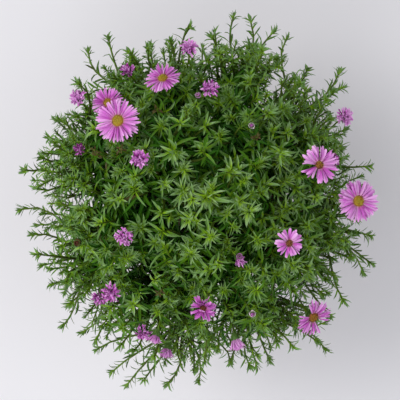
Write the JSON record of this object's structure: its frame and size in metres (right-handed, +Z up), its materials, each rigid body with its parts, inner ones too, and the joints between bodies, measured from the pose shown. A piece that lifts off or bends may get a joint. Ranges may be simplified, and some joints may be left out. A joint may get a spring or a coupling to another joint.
{
  "type": "potted aster",
  "caption": "Low round cushion of narrow-leaved leafy stems with small pink daisy heads, growing in a plain round nursery pot that it stands on.",
  "frame": {"origin": "centre of the pot's underside", "axes": "+Z up. Seen from above, +Y is towards the picture's top edge and +X towards its right edge"},
  "size_m": [0.2663, 0.2811, 0.2458],
  "materials": {
    "pot_plastic": "plain terracotta-coloured nursery pot plastic, matte",
    "compost_brown": "damp dark peaty compost, crumbly",
    "crown_wood": "brown woody rootstock, rough",
    "leaf_green": "mid green leaf with a faint grey sheen",
    "bract_green": "green bracts, matte",
    "ray_pink": "mauve-pink petals, matte",
    "disc_yellow": "yellow to orange-brown florets, matte"
  },
  "bodies": {
    "root": {"compost": "compost_brown", "faded_head_01": "ray_pink", "faded_head_02": "ray_pink", "faded_head_03": "ray_pink", "faded_head_04": "ray_pink", "faded_head_05": "ray_pink", "faded_head_06": "ray_pink", "faded_head_07": "ray_pink", "faded_head_08": "ray_pink", "faded_head_09": "ray_pink", "faded_head_10": "ray_pink", "faded_head_11": "ray_pink", "faded_head_12": "ray_pink", "faded_head_13": "ray_pink", "faded_head_14": "ray_pink", "faded_head_15": "ray_pink", "faded_head_16": "ray_pink", "flower_01_calyx": "bract_green", "flower_01_disc": "disc_yellow", "flower_01_rays": "ray_pink", "flower_02_calyx": "bract_green", "flower_02_disc": "disc_yellow", "flower_02_rays": "ray_pink", "flower_03_calyx": "bract_green", "flower_03_disc": "disc_yellow", "flower_03_rays": "ray_pink", "flower_04_calyx": "bract_green", "flower_04_disc": "disc_yellow", "flower_04_rays": "ray_pink", "flower_05_calyx": "bract_green", "flower_05_disc": "disc_yellow", "flower_05_rays": "ray_pink", "flower_06_calyx": "bract_green", "flower_06_disc": "disc_yellow", "flower_06_rays": "ray_pink", "flower_07_calyx": "bract_green", "flower_07_disc": "disc_yellow", "flower_07_rays": "ray_pink", "flower_08_calyx": "bract_green", "flower_08_disc": "disc_yellow", "flower_08_rays": "ray_pink", "pot": "pot_plastic", "root_crown": "crown_wood", "stem_01": "leaf_green", "stem_02": "leaf_green", "stem_03": "leaf_green", "stem_04": "leaf_green", "stem_05": "leaf_green", "stem_06": "leaf_green", "stem_07": "leaf_green", "stem_08": "leaf_green", "stem_09": "leaf_green", "stem_10": "leaf_green", "stem_11": "leaf_green", "stem_12": "leaf_green", "stem_13": "leaf_green", "stem_14": "leaf_green", "stem_15": "leaf_green", "stem_16": "leaf_green", "stem_17": "leaf_green"}
  },
  "joints": []
}
